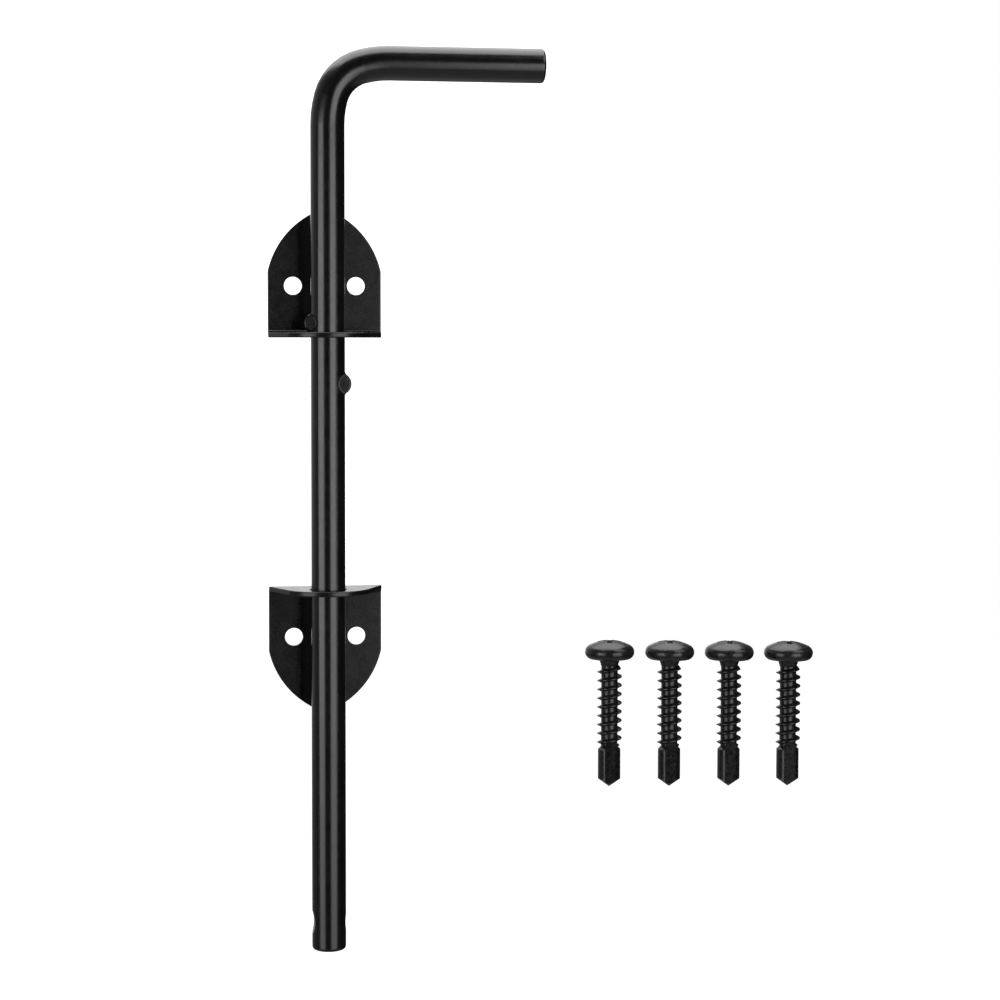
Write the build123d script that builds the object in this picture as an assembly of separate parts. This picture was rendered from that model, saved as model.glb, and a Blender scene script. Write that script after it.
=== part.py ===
from build123d import *
import math
import os

# Cane bolt for a gate: a bent steel drop rod, two pressed brackets that guide it, four drill screws.
# Frame: +Z up along the rod, the front faces -Y, and the gate's face is the plane Y = 0.
# The origin is midway between the upper bracket's two screw holes, on the gate's face.
# Rest is the rod fully down: its left ear stands on the upper bracket's shelf.

# ---- driving dimensions, mm ----
rod_diameter = 13.0           # half-inch bar with its coating
rod_setback = 17.0            # rod axis in front of the gate's face
handle_rise = 101.4           # handle axis above the upper shelf
handle_reach = 89.3           # outer side of the rod to the end of the handle
bend_radius = 16.6            # centreline radius in the middle of the handle's bend
easing_radius = 40.0          # and where the bend begins and ends
easing_angle = 15.0           # degrees turned on the easing radius, at each end
tip_drop = 236.4              # tip below the upper shelf
end_round = 1.3

ear_thickness = 3.5
left_ear_height = 7.2
right_ear_height = 7.6
left_ear_projection = 2.45
right_ear_projection = 2.4
left_ear_bite = 1.9           # how far the punched pockets bite into the rod's outline
right_ear_bite = 2.5
ear_gap = 0.03                # air left between the resting ear and the shelf
right_ear_drop = 19.5         # right ear's centre below the upper shelf
pocket_draft = 9.0            # degrees, slope of the punch that forms the ears
pocket_corner_round = 0.4
ear_rim_round = 0.6
ear_root_round = 1.4          # where the ear's rim runs back into the bar

pinch_rise = 10.6             # middle of the tip's pinch above the tip
pinch_die_radius = 12.5
left_pinch_depth = 0.85
right_pinch_depth = 0.4

sheet = 2.0                   # bracket's thickness
bracket_width = 43.6
inner_bend = 1.0
hole_rise = 17.9              # screw holes from the shelf's inner face
hole_spacing = 24.3
hole_radius = 3.45
arch_start = 23.4             # straight sides end this far from the shelf's inner face
arch_apex = 47.7              # where the two arch curves would meet
arch_radius = 33.2
apex_round = 3.0
bracket_spacing = 97.8        # upper shelf's top to lower shelf's top
shelf_reach = 26.5            # shelf's front from the gate's face
shelf_side = 3.6              # straight part of the shelf's side, from the gate's face
shelf_front_radius = 18.0
shelf_shoulder = 15.0         # half width where the tapered side meets the front curve
shoulder_round = 1.5
rod_hole_radius = 7.0
notch_width = 4.8             # slot beside the upper rod hole that lets the right ear through
notch_reach = 9.6             # from the rod's axis
notch_corner_round = 1.2
edge_round = 0.5              # the strip's outer edges, rolled over by the punch and the coating
hole_edge_round = 0.3

screw_scale = 1.548           # the screws have a No. 14 drill screw's shape, this much larger
screw_diameter = 6.3          # before scaling, like every size of the screw down to recess_tip
screw_pitch = 2.24
screw_root_diameter = 4.2
screw_head_diameter = 12.5
screw_head_height = 4.9
screw_length = 37.4           # top of the head to the point
crown_radius = 5.25           # where the head's crown turns into its rim, seen from above
crown_middle_drop = 0.34      # halfway out along the crown, below the top of the head
crown_edge_drop = 1.32
rim_middle_drop = 3.04
rim_foot_drop = 4.66
neck_flare = 0.6              # how much wider than the root the shank is just under the head
neck_height = 1.6
thread_start = 0.6            # first of the thread below the head
thread_overrun = 0.2          # last of the thread below the drill point's shoulder
thread_turn = -134.0          # degrees, where round the shank the thread starts
thread_fade = 2.2             # length over which the thread grows from the root, and fades again
thread_flat = 0.2
thread_half_base = 0.67
thread_burial = 0.15          # how far the ridge starts inside the root
point_step = 0.8              # length over which the root widens to the drill point
point_diameter = 5.7
point_length = 9.6
point_angle = 108.0           # degrees, included angle of the drill tip
flute_width = 3.3
flute_floor = 1.0             # flute's flat floor from the screw's axis, front to back
flute_shift = 0.6             # flute's middle from the screw's axis, sideways
flute_runout = 0.6            # centre of the flute's round top above the shoulder
recess_width = 6.6            # across the cross recess at the top of the head
recess_depth = 3.1
recess_slot = 1.3
recess_foot = 1.85            # across the recess at its bottom
recess_tip = 0.5              # depth of the recess's pointed bottom
screw_count = 4
screw_turn = -11.0            # degrees, each screw about its own axis
first_screw_x = 110.9
screw_step = 24.1
first_screw_drop = 149.0      # first screw's middle below the upper shelf
screw_drop_step = 0.57        # how much lower each next screw lies

tolerance = 0.1               # for picking out edges and corners by place

# ---- worked out ----
cut_length = 3 * sheet        # of the tools that pass right through the strip
shortest_rim = 1.5 * sheet    # straight edges shorter than this are corners through the strip
rod_radius = rod_diameter / 2
upper_shelf = -hole_rise
lower_shelf = upper_shelf - bracket_spacing
handle_axis = upper_shelf + handle_rise
handle_end = handle_reach - rod_radius
tip = upper_shelf - tip_drop
# each ear's side of the rod, height, projection and bite
left_ear = (-1, left_ear_height, left_ear_projection, left_ear_bite)
right_ear = (1, right_ear_height, right_ear_projection, right_ear_bite)


def place(shape, x=0.0, y=0.0, z=0.0):
    return Pos(x, y, z) * shape


def centreline():
    """Up the rod, round the bend and out along the handle; the bend eases in and out."""
    ease = math.radians(easing_angle)
    easing_run = easing_radius * (1 - math.cos(ease) + math.sin(ease))
    middle_run = bend_radius * (math.cos(ease) - math.sin(ease))
    rise = Line((0, tip), (0, handle_axis - easing_run - middle_run))
    ease_in = JernArc(rise @ 1, rise % 1, easing_radius, -easing_angle)
    bend = JernArc(ease_in @ 1, ease_in % 1, bend_radius, 2 * easing_angle - 90)
    ease_out = JernArc(bend @ 1, bend % 1, easing_radius, -easing_angle)
    handle = Line(ease_out @ 1, (handle_end, handle_axis))
    return Plane.XZ.offset(rod_setback) * Curve([rise, ease_in, bend, ease_out, handle])


def rounded_bar():
    """The bare bar: straight down, one bend, and the handle out to +X, with rounded ends."""
    section = Plane(origin=(0, -rod_setback, tip), z_dir=(0, 0, 1)) * Circle(rod_radius)
    bar = sweep(section, path=centreline())
    rims = bar.edges().sort_by(Axis.Z)[:1] + bar.edges().sort_by(Axis.X)[-1:]
    return fillet(rims, end_round)


def cylinder_along_y(radius, y_from, y_to, x, z, far_radius=None):
    """A cylinder, or a cone that ends with far_radius, between two Y values."""
    start = Plane(origin=(x, y_from, z), x_dir=(1, 0, 0), z_dir=(0, y_to - y_from, 0))
    length = abs(y_to - y_from)
    if far_radius is None:
        solid = Cylinder(radius, length, align=(Align.CENTER, Align.CENTER, Align.MIN))
    else:
        solid = Cone(radius, far_radius, length, align=(Align.CENTER, Align.CENTER, Align.MIN))
    return start * solid


def arc_radius(half_chord, sagitta):
    return (half_chord**2 + sagitta**2) / (2 * sagitta)


def distance_from_axis(edge):
    """How far the middle of an edge lies from the rod's axis."""
    middle = edge @ 0.5
    return math.hypot(middle.X, middle.Y + rod_setback)


def add_ear(bar, ear, centre_z):
    """Punch a flat leaf-shaped ear out of the bar, centred at a height on its left or right."""
    side, height, projection, bite = ear
    outer = arc_radius(height / 2, projection)
    leaf_x = side * (rod_radius + projection - outer)
    y_back = -rod_setback + ear_thickness / 2
    y_front = -rod_setback - ear_thickness / 2
    leaf = cylinder_along_y(outer, y_front, y_back, leaf_x, centre_z)
    leaf = fillet(leaf.edges().filter_by(GeomType.CIRCLE), ear_rim_round)
    before = bar.edges()
    bar += leaf
    roots = [edge for edge in bar.edges() if edge not in before]
    roots = [edge for edge in roots if abs(distance_from_axis(edge) - rod_radius) < tolerance]
    bar = fillet(roots, ear_root_round)
    punch = arc_radius(height / 2, bite)
    punch_x = side * (rod_radius - bite + punch)
    wide = punch + rod_radius * math.tan(math.radians(pocket_draft))
    for y_start, direction in ((y_back, 1), (y_front, -1)):
        y_end = y_start + direction * rod_radius
        tool = cylinder_along_y(punch, y_start, y_end, punch_x, centre_z, far_radius=wide)
        nose = tool.edges().filter_by(GeomType.CIRCLE).sort_by(SortBy.RADIUS)[0]
        bar -= fillet(nose, pocket_corner_round)
    return bar


def pinch_tip(bar):
    """Nip the rod from both sides just above its tip, deeper on the left."""
    middle = tip + pinch_rise
    for direction, depth in ((-1, left_pinch_depth), (1, right_pinch_depth)):
        die_x = direction * (rod_radius - depth + pinch_die_radius)
        y_ends = (-rod_setback - rod_diameter, -rod_setback + rod_diameter)
        bar -= cylinder_along_y(pinch_die_radius, *y_ends, die_x, middle)
    return bar


def drop_rod():
    """The whole rod, its left ear resting on the rim of the upper shelf's hole."""
    outer = arc_radius(left_ear_height / 2, left_ear_projection)
    hole_edge = rod_hole_radius - (rod_radius + left_ear_projection - outer)
    left_z = upper_shelf + math.sqrt(outer**2 - hole_edge**2) + ear_gap
    bar = add_ear(rounded_bar(), left_ear, left_z)
    bar = add_ear(bar, right_ear, upper_shelf - right_ear_drop)
    return pinch_tip(bar)


def bracket_side():
    """The bent strip seen from the side, with its shelf on top of Z = 0: an L of even thickness."""
    outer_bend = inner_bend + sheet
    with BuildSketch(Plane.YZ) as side:
        with BuildLine():
            Polyline(
                (0, -sheet + outer_bend), (0, arch_apex), (-sheet, arch_apex), (-sheet, inner_bend)
            )
            RadiusArc((-sheet, inner_bend), (-sheet - inner_bend, 0), -inner_bend)
            Polyline(
                (-sheet - inner_bend, 0), (-shelf_reach, 0), (-shelf_reach, -sheet),
                (-outer_bend, -sheet),
            )
            RadiusArc((-outer_bend, -sheet), (0, -sheet + outer_bend), -outer_bend)
        make_face()
    return extrude(side.sketch, amount=bracket_width / 2, both=True)


def plate_outline():
    """Front view of the plate: straight sides, then two curves that meet in a pointed arch."""
    half = bracket_width / 2
    with BuildSketch(Plane.XZ) as outline:
        with BuildLine():
            Polyline((-half, arch_start), (-half, -sheet), (half, -sheet), (half, arch_start))
            RadiusArc((half, arch_start), (0, arch_apex), -arch_radius)
            RadiusArc((0, arch_apex), (-half, arch_start), -arch_radius)
        make_face()
        apex = outline.vertices().sort_by(Axis.Y)[-1]
        fillet(apex, apex_round)
    return extrude(outline.sketch, amount=shelf_reach, both=True)


def shelf_outline():
    """Top view of the shelf: straight by the bend, tapered sides, and a round front."""
    half = bracket_width / 2
    centre = shelf_reach - shelf_front_radius
    shoulder_y = centre + math.sqrt(shelf_front_radius**2 - shelf_shoulder**2)
    with BuildSketch(Plane.XY) as outline:
        with BuildLine():
            Polyline(
                (-shelf_shoulder, -shoulder_y), (-half, -shelf_side), (-half, 0),
                (half, 0), (half, -shelf_side), (shelf_shoulder, -shoulder_y),
            )
            ThreePointArc(
                (shelf_shoulder, -shoulder_y), (0, -shelf_reach), (-shelf_shoulder, -shoulder_y)
            )
        make_face()
        front, back = -shoulder_y - tolerance, -shelf_side + tolerance
        corners = outline.vertices().filter_by_position(Axis.Y, front, back)
        fillet(corners, shoulder_round)
    return extrude(outline.sketch, amount=arch_apex + sheet, both=True)


def bracket(notched):
    """A bracket with its plate above its shelf, and the shelf's inner face at Z = 0."""
    blank = bracket_side() & plate_outline() & shelf_outline()
    bend_lines = blank.edges().filter_by(Axis.X)
    outline = [edge for edge in blank.edges() if edge not in bend_lines]
    blank = fillet(outline, edge_round)
    rod_hole = Cylinder(rod_hole_radius, cut_length)
    if notched:
        slot = Box(notch_reach, notch_width, cut_length, align=(Align.MIN, Align.CENTER, Align.CENTER))
        corners = slot.edges().filter_by(Axis.Z).sort_by(Axis.X)[-2:]
        rod_hole += fillet(corners, notch_corner_round)
    punched = blank - place(rod_hole, 0, -rod_setback, -sheet / 2)
    for side in (-1, 1):
        x = side * hole_spacing / 2
        punched -= cylinder_along_y(hole_radius, -2 * sheet, sheet, x, hole_rise)
    rims = [edge for edge in punched.edges() if edge not in blank.edges()]
    rims = [edge for edge in rims if edge.length > shortest_rim or edge.geom_type != GeomType.LINE]
    return fillet(rims, hole_edge_round)


def screw_blank():
    """Head, shank and drill point as one turned body, with the top of the head at Z = 0."""
    head = screw_head_diameter / 2
    height = screw_head_height
    root = screw_root_diameter / 2
    point = point_diameter / 2
    shoulder = point_length - screw_length
    tip_height = point / math.tan(math.radians(point_angle / 2))
    crown = ThreePointArc(
        (0, 0), (crown_radius / 2, -crown_middle_drop), (crown_radius, -crown_edge_drop)
    )
    rim = ThreePointArc(crown @ 1, (head, -rim_middle_drop), (crown_radius, -rim_foot_drop))
    rest = Polyline(
        rim @ 1, (root + neck_flare, -height), (root, -height - neck_height),
        (root, shoulder + point_step), (point, shoulder), (point, tip_height - screw_length),
        (0, -screw_length), (0, 0),
    )
    return revolve(Plane.XZ * make_face([crown, rim, rest]), Axis.Z)


def screw_thread():
    """One right-hand ridge from under the head to the drill point, fading out at both ends."""
    root = screw_root_diameter / 2
    buried = root - thread_burial
    depth = screw_diameter / 2 - buried
    top = -screw_head_height - thread_start
    bottom = point_length - screw_length - thread_overrun
    helix = Helix(pitch=screw_pitch, height=top - bottom, radius=buried)
    tooth = Polygon(
        (0, -thread_half_base), (depth, -thread_flat / 2), (depth, thread_flat / 2),
        (0, thread_half_base), align=None,
    )
    section = Plane(origin=(buried, 0, 0), x_dir=(1, 0, 0), z_dir=(0, -1, 0)) * tooth
    ridge = place(sweep(section, path=helix, is_frenet=True), 0, 0, bottom)
    wide = screw_diameter / 2 + tolerance
    low = root - 2 * thread_burial
    sleeve = Polyline(
        (0, top), (low, top), (wide, top - thread_fade), (wide, bottom + thread_fade),
        (low, bottom), (0, bottom), (0, top),
    )
    return ridge & revolve(Plane.XZ * make_face(sleeve), Axis.Z)


def flute():
    """One of the drill point's two grooves: flat-floored, with a round top."""
    outline = Circle(flute_width / 2) + Rectangle(
        flute_width, point_length, align=(Align.CENTER, Align.MAX)
    )
    top = point_length - screw_length + flute_runout
    return place(extrude(Plane.XZ * outline, point_diameter), flute_shift, -flute_floor, top)


def cross_recess():
    """Two crossed blades, tapered to a blunt point, that cut the driver's recess."""
    half = recess_width / 2
    foot = recess_foot / 2
    above = recess_slot
    blade_side = Polyline(
        (-half, above), (half, above), (half, 0), (foot, -recess_depth),
        (0, -recess_depth - recess_tip), (-foot, -recess_depth), (-half, 0), (-half, above),
    )
    blade = extrude(Plane.XZ * make_face(blade_side), recess_slot / 2, both=True)
    return blade + Rot(0, 0, 90) * blade


def screw():
    """The whole screw at its full size, the top of its head at Z = 0."""
    solid = screw_blank() + Rot(0, 0, thread_turn) * screw_thread()
    solid -= flute()
    solid -= Rot(0, 0, 180) * flute()
    return scale(solid - cross_recess(), by=screw_scale)


def write(shape, name):
    shape.label = name
    export_step(shape, f"parts/{name}.step")


os.makedirs("parts", exist_ok=True)
write(drop_rod(), "drop_rod")
write(place(bracket(notched=True), 0, 0, upper_shelf), "upper_bracket")
lower = Rot(0, 180, 0) * bracket(notched=False)
write(place(lower, 0, 0, lower_shelf - sheet), "lower_bracket")

# the screws lie loose in a row beside the bolt, their heads touching the plane of the gate's face
loose_screw = screw()
for number in range(screw_count):
    screw_x = first_screw_x + number * screw_step
    middle_drop = first_screw_drop + number * screw_drop_step
    head_top = upper_shelf - middle_drop + screw_scale * screw_length / 2
    head_radius = screw_scale * screw_head_diameter / 2
    turned_screw = Rot(0, 0, screw_turn) * loose_screw
    write(place(turned_screw, screw_x, -head_radius, head_top), f"screw_{number + 1}")
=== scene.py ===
import math

import bpy
from mathutils import Euler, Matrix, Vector

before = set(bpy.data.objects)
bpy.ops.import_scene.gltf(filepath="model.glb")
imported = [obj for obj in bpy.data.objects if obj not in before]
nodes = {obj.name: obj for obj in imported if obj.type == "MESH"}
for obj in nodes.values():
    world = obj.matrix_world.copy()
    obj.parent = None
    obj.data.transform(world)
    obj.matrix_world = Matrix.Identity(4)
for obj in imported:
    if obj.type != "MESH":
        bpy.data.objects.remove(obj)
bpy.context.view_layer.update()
scene = bpy.context.scene

# ---- camera and framing, metres and degrees ----
camera_place = (-0.0694, -0.867, -0.022)
camera_pitch = -3.23
camera_roll = -0.07
camera_yaw = -8.29
camera_lens = 80.8
camera_shift = (0.03, -0.03)
sensor_width = 36.0           # millimetres, as camera_lens
clip_end = 50.0

# ---- studio, metres ----
studio_centre = Vector((0.0, -0.02, -0.05))
floor_depth = 1.1             # floor below the studio's centre
floor_size = 14.0
softbox_fade = 0.7            # share of a softbox's height over which it brightens upwards

# ---- black coating: noises in cells per metre, bump depths in metres ----
coat_tones = ((0.0022, 0.0022, 0.0023), (0.0045, 0.0045, 0.0046))
cloud_cells = 90              # drift between the two tones
gloss_cells = 260             # patches of more and less gloss
peel_cells = 650              # orange peel
grain_cells = 3600
draw_line_depth = 1.2e-6
grain_depth = 1.5e-6

# ---- screws' oiled oxide, in the same units ----
oxide_tones = ((0.004, 0.004, 0.004), (0.016, 0.0158, 0.0155))
oxide_gloss = (0.14, 0.36)    # roughness where oiled and where dry
oxide_refraction = 1.42
mottle_cells = 520
oil_cells = 700
dent_cells = 900
crystal_cells = 5200
dent_depth = 3.2e-5
crystal_depth = 6e-6


# ---- material helpers ----
def new_material(name):
    """A fresh node material, its node tree and its shader."""
    material = bpy.data.materials.new(name)
    material.use_nodes = True
    tree = material.node_tree
    return material, tree, tree.nodes["Principled BSDF"]


def stretched_position(tree, scale):
    """Object-space position, in metres, multiplied by a scale along each axis."""
    place = tree.nodes.new("ShaderNodeTexCoord")
    mapping = tree.nodes.new("ShaderNodeMapping")
    mapping.inputs["Scale"].default_value = scale
    tree.links.new(place.outputs["Object"], mapping.inputs["Vector"])
    return mapping.outputs["Vector"]


def noise(tree, scale, detail=2.0, roughness=0.5):
    """Smooth noise from 0 to 1, with a scale along each axis in cells per metre."""
    texture = tree.nodes.new("ShaderNodeTexNoise")
    texture.inputs["Scale"].default_value = 1.0
    texture.inputs["Detail"].default_value = detail
    texture.inputs["Roughness"].default_value = roughness
    tree.links.new(stretched_position(tree, scale), texture.inputs["Vector"])
    return texture.outputs["Fac"]


def spread(tree, value, low, high):
    """Stretches the middle of a noise to run from low to high."""
    node = tree.nodes.new("ShaderNodeMapRange")
    node.inputs["From Min"].default_value = 0.3
    node.inputs["From Max"].default_value = 0.7
    node.inputs["To Min"].default_value = low
    node.inputs["To Max"].default_value = high
    tree.links.new(value, node.inputs["Value"])
    return node.outputs["Result"]


def two_tones(tree, value, dark, light):
    """A colour that runs from dark to light over the middle of a noise."""
    blend = tree.nodes.new("ShaderNodeValToRGB")
    first, last = blend.color_ramp.elements
    first.position, first.color = 0.35, (*dark, 1.0)
    last.position, last.color = 0.65, (*light, 1.0)
    tree.links.new(value, blend.inputs["Fac"])
    return blend.outputs["Color"]


def bumps(tree, layers):
    """Stacks bump layers of (height value, depth in metres) and returns the bent normal."""
    normal = None
    for height, depth in layers:
        bump = tree.nodes.new("ShaderNodeBump")
        bump.inputs["Strength"].default_value = 1.0
        bump.inputs["Distance"].default_value = depth
        tree.links.new(height, bump.inputs["Height"])
        if normal is not None:
            tree.links.new(normal, bump.inputs["Normal"])
        normal = bump.outputs["Normal"]
    return normal


def even(cells_per_metre):
    """The same noise scale along all three axes."""
    return (cells_per_metre,) * 3


# ---- materials ----
def black_coating(name, gloss, line_cells, peel_depth, refraction):
    """Baked satin black over steel: faint orange peel, fine grain and the metal's draw lines.

    The gloss is the roughness from end to end; line_cells is the draw lines' scale on each axis.
    """
    material, tree, shader = new_material(name)
    cloud = noise(tree, even(cloud_cells), detail=4.0)
    tree.links.new(two_tones(tree, cloud, *coat_tones), shader.inputs["Base Color"])
    patches = noise(tree, even(gloss_cells), detail=5.0, roughness=0.6)
    tree.links.new(spread(tree, patches, *gloss), shader.inputs["Roughness"])
    draw_lines = noise(tree, line_cells, detail=3.0)
    peel = noise(tree, even(peel_cells), detail=1.0)
    grain = noise(tree, even(grain_cells), detail=3.0, roughness=0.7)
    layers = [(draw_lines, draw_line_depth), (peel, peel_depth), (grain, grain_depth)]
    tree.links.new(bumps(tree, layers), shader.inputs["Normal"])
    shader.inputs["IOR"].default_value = refraction
    return material


def screw_oxide():
    """Oiled black phosphate: mottled, a little crystalline, glossier where the oil has pooled."""
    material, tree, shader = new_material("screw_oxide")
    mottle = noise(tree, even(mottle_cells), detail=6.0, roughness=0.7)
    tree.links.new(two_tones(tree, mottle, *oxide_tones), shader.inputs["Base Color"])
    oil = noise(tree, even(oil_cells), detail=4.0, roughness=0.6)
    tree.links.new(spread(tree, oil, *oxide_gloss), shader.inputs["Roughness"])
    crystals = noise(tree, even(crystal_cells), detail=4.0, roughness=0.7)
    dents = noise(tree, even(dent_cells), detail=2.0)
    layers = [(dents, dent_depth), (crystals, crystal_depth)]
    tree.links.new(bumps(tree, layers), shader.inputs["Normal"])
    shader.inputs["IOR"].default_value = oxide_refraction
    return material


def paint(node, material):
    """Gives a CAD node one material and leaves its mesh as it is."""
    mesh = nodes[node].data
    mesh.materials.clear()
    mesh.materials.append(material)


def dress_parts():
    rod = black_coating(
        "rod_coating", gloss=(0.19, 0.27), line_cells=(1500, 1500, 25),
        peel_depth=6e-6, refraction=1.5,
    )
    strip = black_coating(
        "bracket_coating", gloss=(0.22, 0.31), line_cells=(900, 900, 40),
        peel_depth=9e-6, refraction=1.4,
    )
    paint("drop_rod", rod)
    for node in ("upper_bracket", "lower_bracket"):
        paint(node, strip)
    oxide = screw_oxide()
    for node in sorted(nodes):
        if node.startswith("screw_"):
            paint(node, oxide)


# ---- studio ----
def ramp(tree, value, span, levels):
    """A value that eases from the first level to the second as another crosses a span."""
    node = tree.nodes.new("ShaderNodeMapRange")
    node.interpolation_type = "SMOOTHSTEP"
    node.inputs["From Min"].default_value, node.inputs["From Max"].default_value = span
    node.inputs["To Min"].default_value, node.inputs["To Max"].default_value = levels
    tree.links.new(value, node.inputs["Value"])
    return node.outputs["Result"]


def combine(tree, operation, first, second):
    """One value worked out from two."""
    node = tree.nodes.new("ShaderNodeMath")
    node.operation = operation
    tree.links.new(first, node.inputs[0])
    tree.links.new(second, node.inputs[1])
    return node.outputs["Value"]


def direction(azimuth, elevation):
    """Unit vector from the centre: azimuth 0 is to the front, 90 to +X, elevation is up."""
    a, e = math.radians(azimuth), math.radians(elevation)
    return Vector((math.sin(a) * math.cos(e), -math.cos(a) * math.cos(e), math.sin(e)))


def softbox(name, azimuth, elevation, distance, width, height, radiance, foot):
    """A rectangular area light, out of the camera's sight, aimed at the studio's centre.

    Its brightness falls to the given share, foot, at its lower edge.
    """
    light = bpy.data.lights.new(name, "AREA")
    light.shape = "RECTANGLE"
    light.size = width
    light.size_y = height
    light.energy = radiance * math.pi * width * height
    light.use_nodes = True
    tree = light.node_tree
    surface = tree.nodes.new("ShaderNodeNewGeometry")
    axes = tree.nodes.new("ShaderNodeSeparateXYZ")
    tree.links.new(surface.outputs["Parametric"], axes.inputs["Vector"])
    strength = ramp(tree, axes.outputs["Y"], (0.0, softbox_fade), (foot, 1.0))
    tree.links.new(strength, tree.nodes["Emission"].inputs["Strength"])
    lamp = bpy.data.objects.new(name, light)
    lamp.location = studio_centre + direction(azimuth, elevation) * distance
    lamp.rotation_euler = (studio_centre - lamp.location).to_track_quat("-Z", "Y").to_euler()
    lamp.visible_camera = False
    scene.collection.objects.link(lamp)


def lights():
    """Two upright strips either side of the camera, and two panels above."""
    softbox(
        "left_strip", azimuth=-49.5, elevation=-10, distance=1.3,
        width=0.79, height=1.1, radiance=3.9, foot=0.35,
    )
    softbox(
        "right_strip", azimuth=30, elevation=-10, distance=1.3,
        width=0.9, height=1.1, radiance=3.9, foot=0.35,
    )
    softbox(
        "right_top_panel", azimuth=55, elevation=42, distance=1.3,
        width=0.9, height=0.7, radiance=2.6, foot=1.0,
    )
    softbox(
        "back_top_panel", azimuth=180, elevation=71, distance=1.2,
        width=1.6, height=1.85, radiance=4.4, foot=0.3,
    )


def backdrop():
    """White to the camera; in reflections dark, but for a bright field behind and to the left.

    The field is brightest straight behind and dims below; straight down there is a faint glow.
    """
    world = bpy.data.worlds.new("studio")
    world.use_nodes = True
    tree = world.node_tree
    scene.world = world
    coordinates = tree.nodes.new("ShaderNodeTexCoord")
    axes = tree.nodes.new("ShaderNodeSeparateXYZ")
    tree.links.new(coordinates.outputs["Generated"], axes.inputs["Vector"])
    behind = ramp(tree, axes.outputs["Y"], (-0.9, 1.3), (0.0, 0.65))
    level = ramp(tree, axes.outputs["Z"], (-0.22, -0.08), (0.35, 1.0))
    straight_behind = ramp(tree, axes.outputs["Y"], (0.92, 0.99), (0.0, 0.95))
    leftward = ramp(tree, axes.outputs["X"], (0.15, 0.5), (1.0, 0.0))
    below = ramp(tree, axes.outputs["Z"], (-0.8, -0.45), (0.35, 0.02))
    field = combine(tree, "ADD", combine(tree, "MULTIPLY", behind, leftward), straight_behind)
    glow = combine(tree, "ADD", combine(tree, "MULTIPLY", field, level), below)
    seen = tree.nodes.new("ShaderNodeLightPath").outputs["Is Camera Ray"]
    background = tree.nodes["Background"]
    tree.links.new(combine(tree, "MAXIMUM", glow, seen), background.inputs["Strength"])
    background.inputs["Color"].default_value = (1.0, 1.0, 1.0, 1.0)


def pale_floor():
    """A plain white floor that the camera sees and that adds no light to the bolt."""
    material, tree, shader = new_material("pale_floor")
    speckle = noise(tree, even(6), detail=3.0)
    colour = two_tones(tree, speckle, (0.88, 0.88, 0.88), (0.9, 0.9, 0.9))
    tree.links.new(colour, shader.inputs["Base Color"])
    shader.inputs["Roughness"].default_value = 0.9
    shader.inputs["Emission Color"].default_value = (1.0, 1.0, 1.0, 1.0)
    shader.inputs["Emission Strength"].default_value = 0.9
    bpy.ops.mesh.primitive_plane_add(size=floor_size)
    floor = bpy.context.object
    floor.name = "floor"
    floor.location = (0.0, 0.0, studio_centre.z - floor_depth)
    floor.data.materials.append(material)
    floor.visible_glossy = False
    floor.visible_diffuse = False


def camera():
    data = bpy.data.cameras.new("camera")
    data.lens = camera_lens
    data.sensor_width = sensor_width
    data.shift_x, data.shift_y = camera_shift
    data.clip_end = clip_end
    view = bpy.data.objects.new("camera", data)
    view.location = camera_place
    level = math.pi / 2
    angles = (level + math.radians(camera_pitch), 0.0, math.radians(camera_yaw))
    roll = Euler((0.0, 0.0, math.radians(-camera_roll))).to_matrix()
    view.rotation_euler = (Euler(angles).to_matrix() @ roll).to_euler()
    scene.collection.objects.link(view)
    scene.camera = view


scene.view_settings.view_transform = "Standard"
dress_parts()
lights()
backdrop()
pale_floor()
camera()
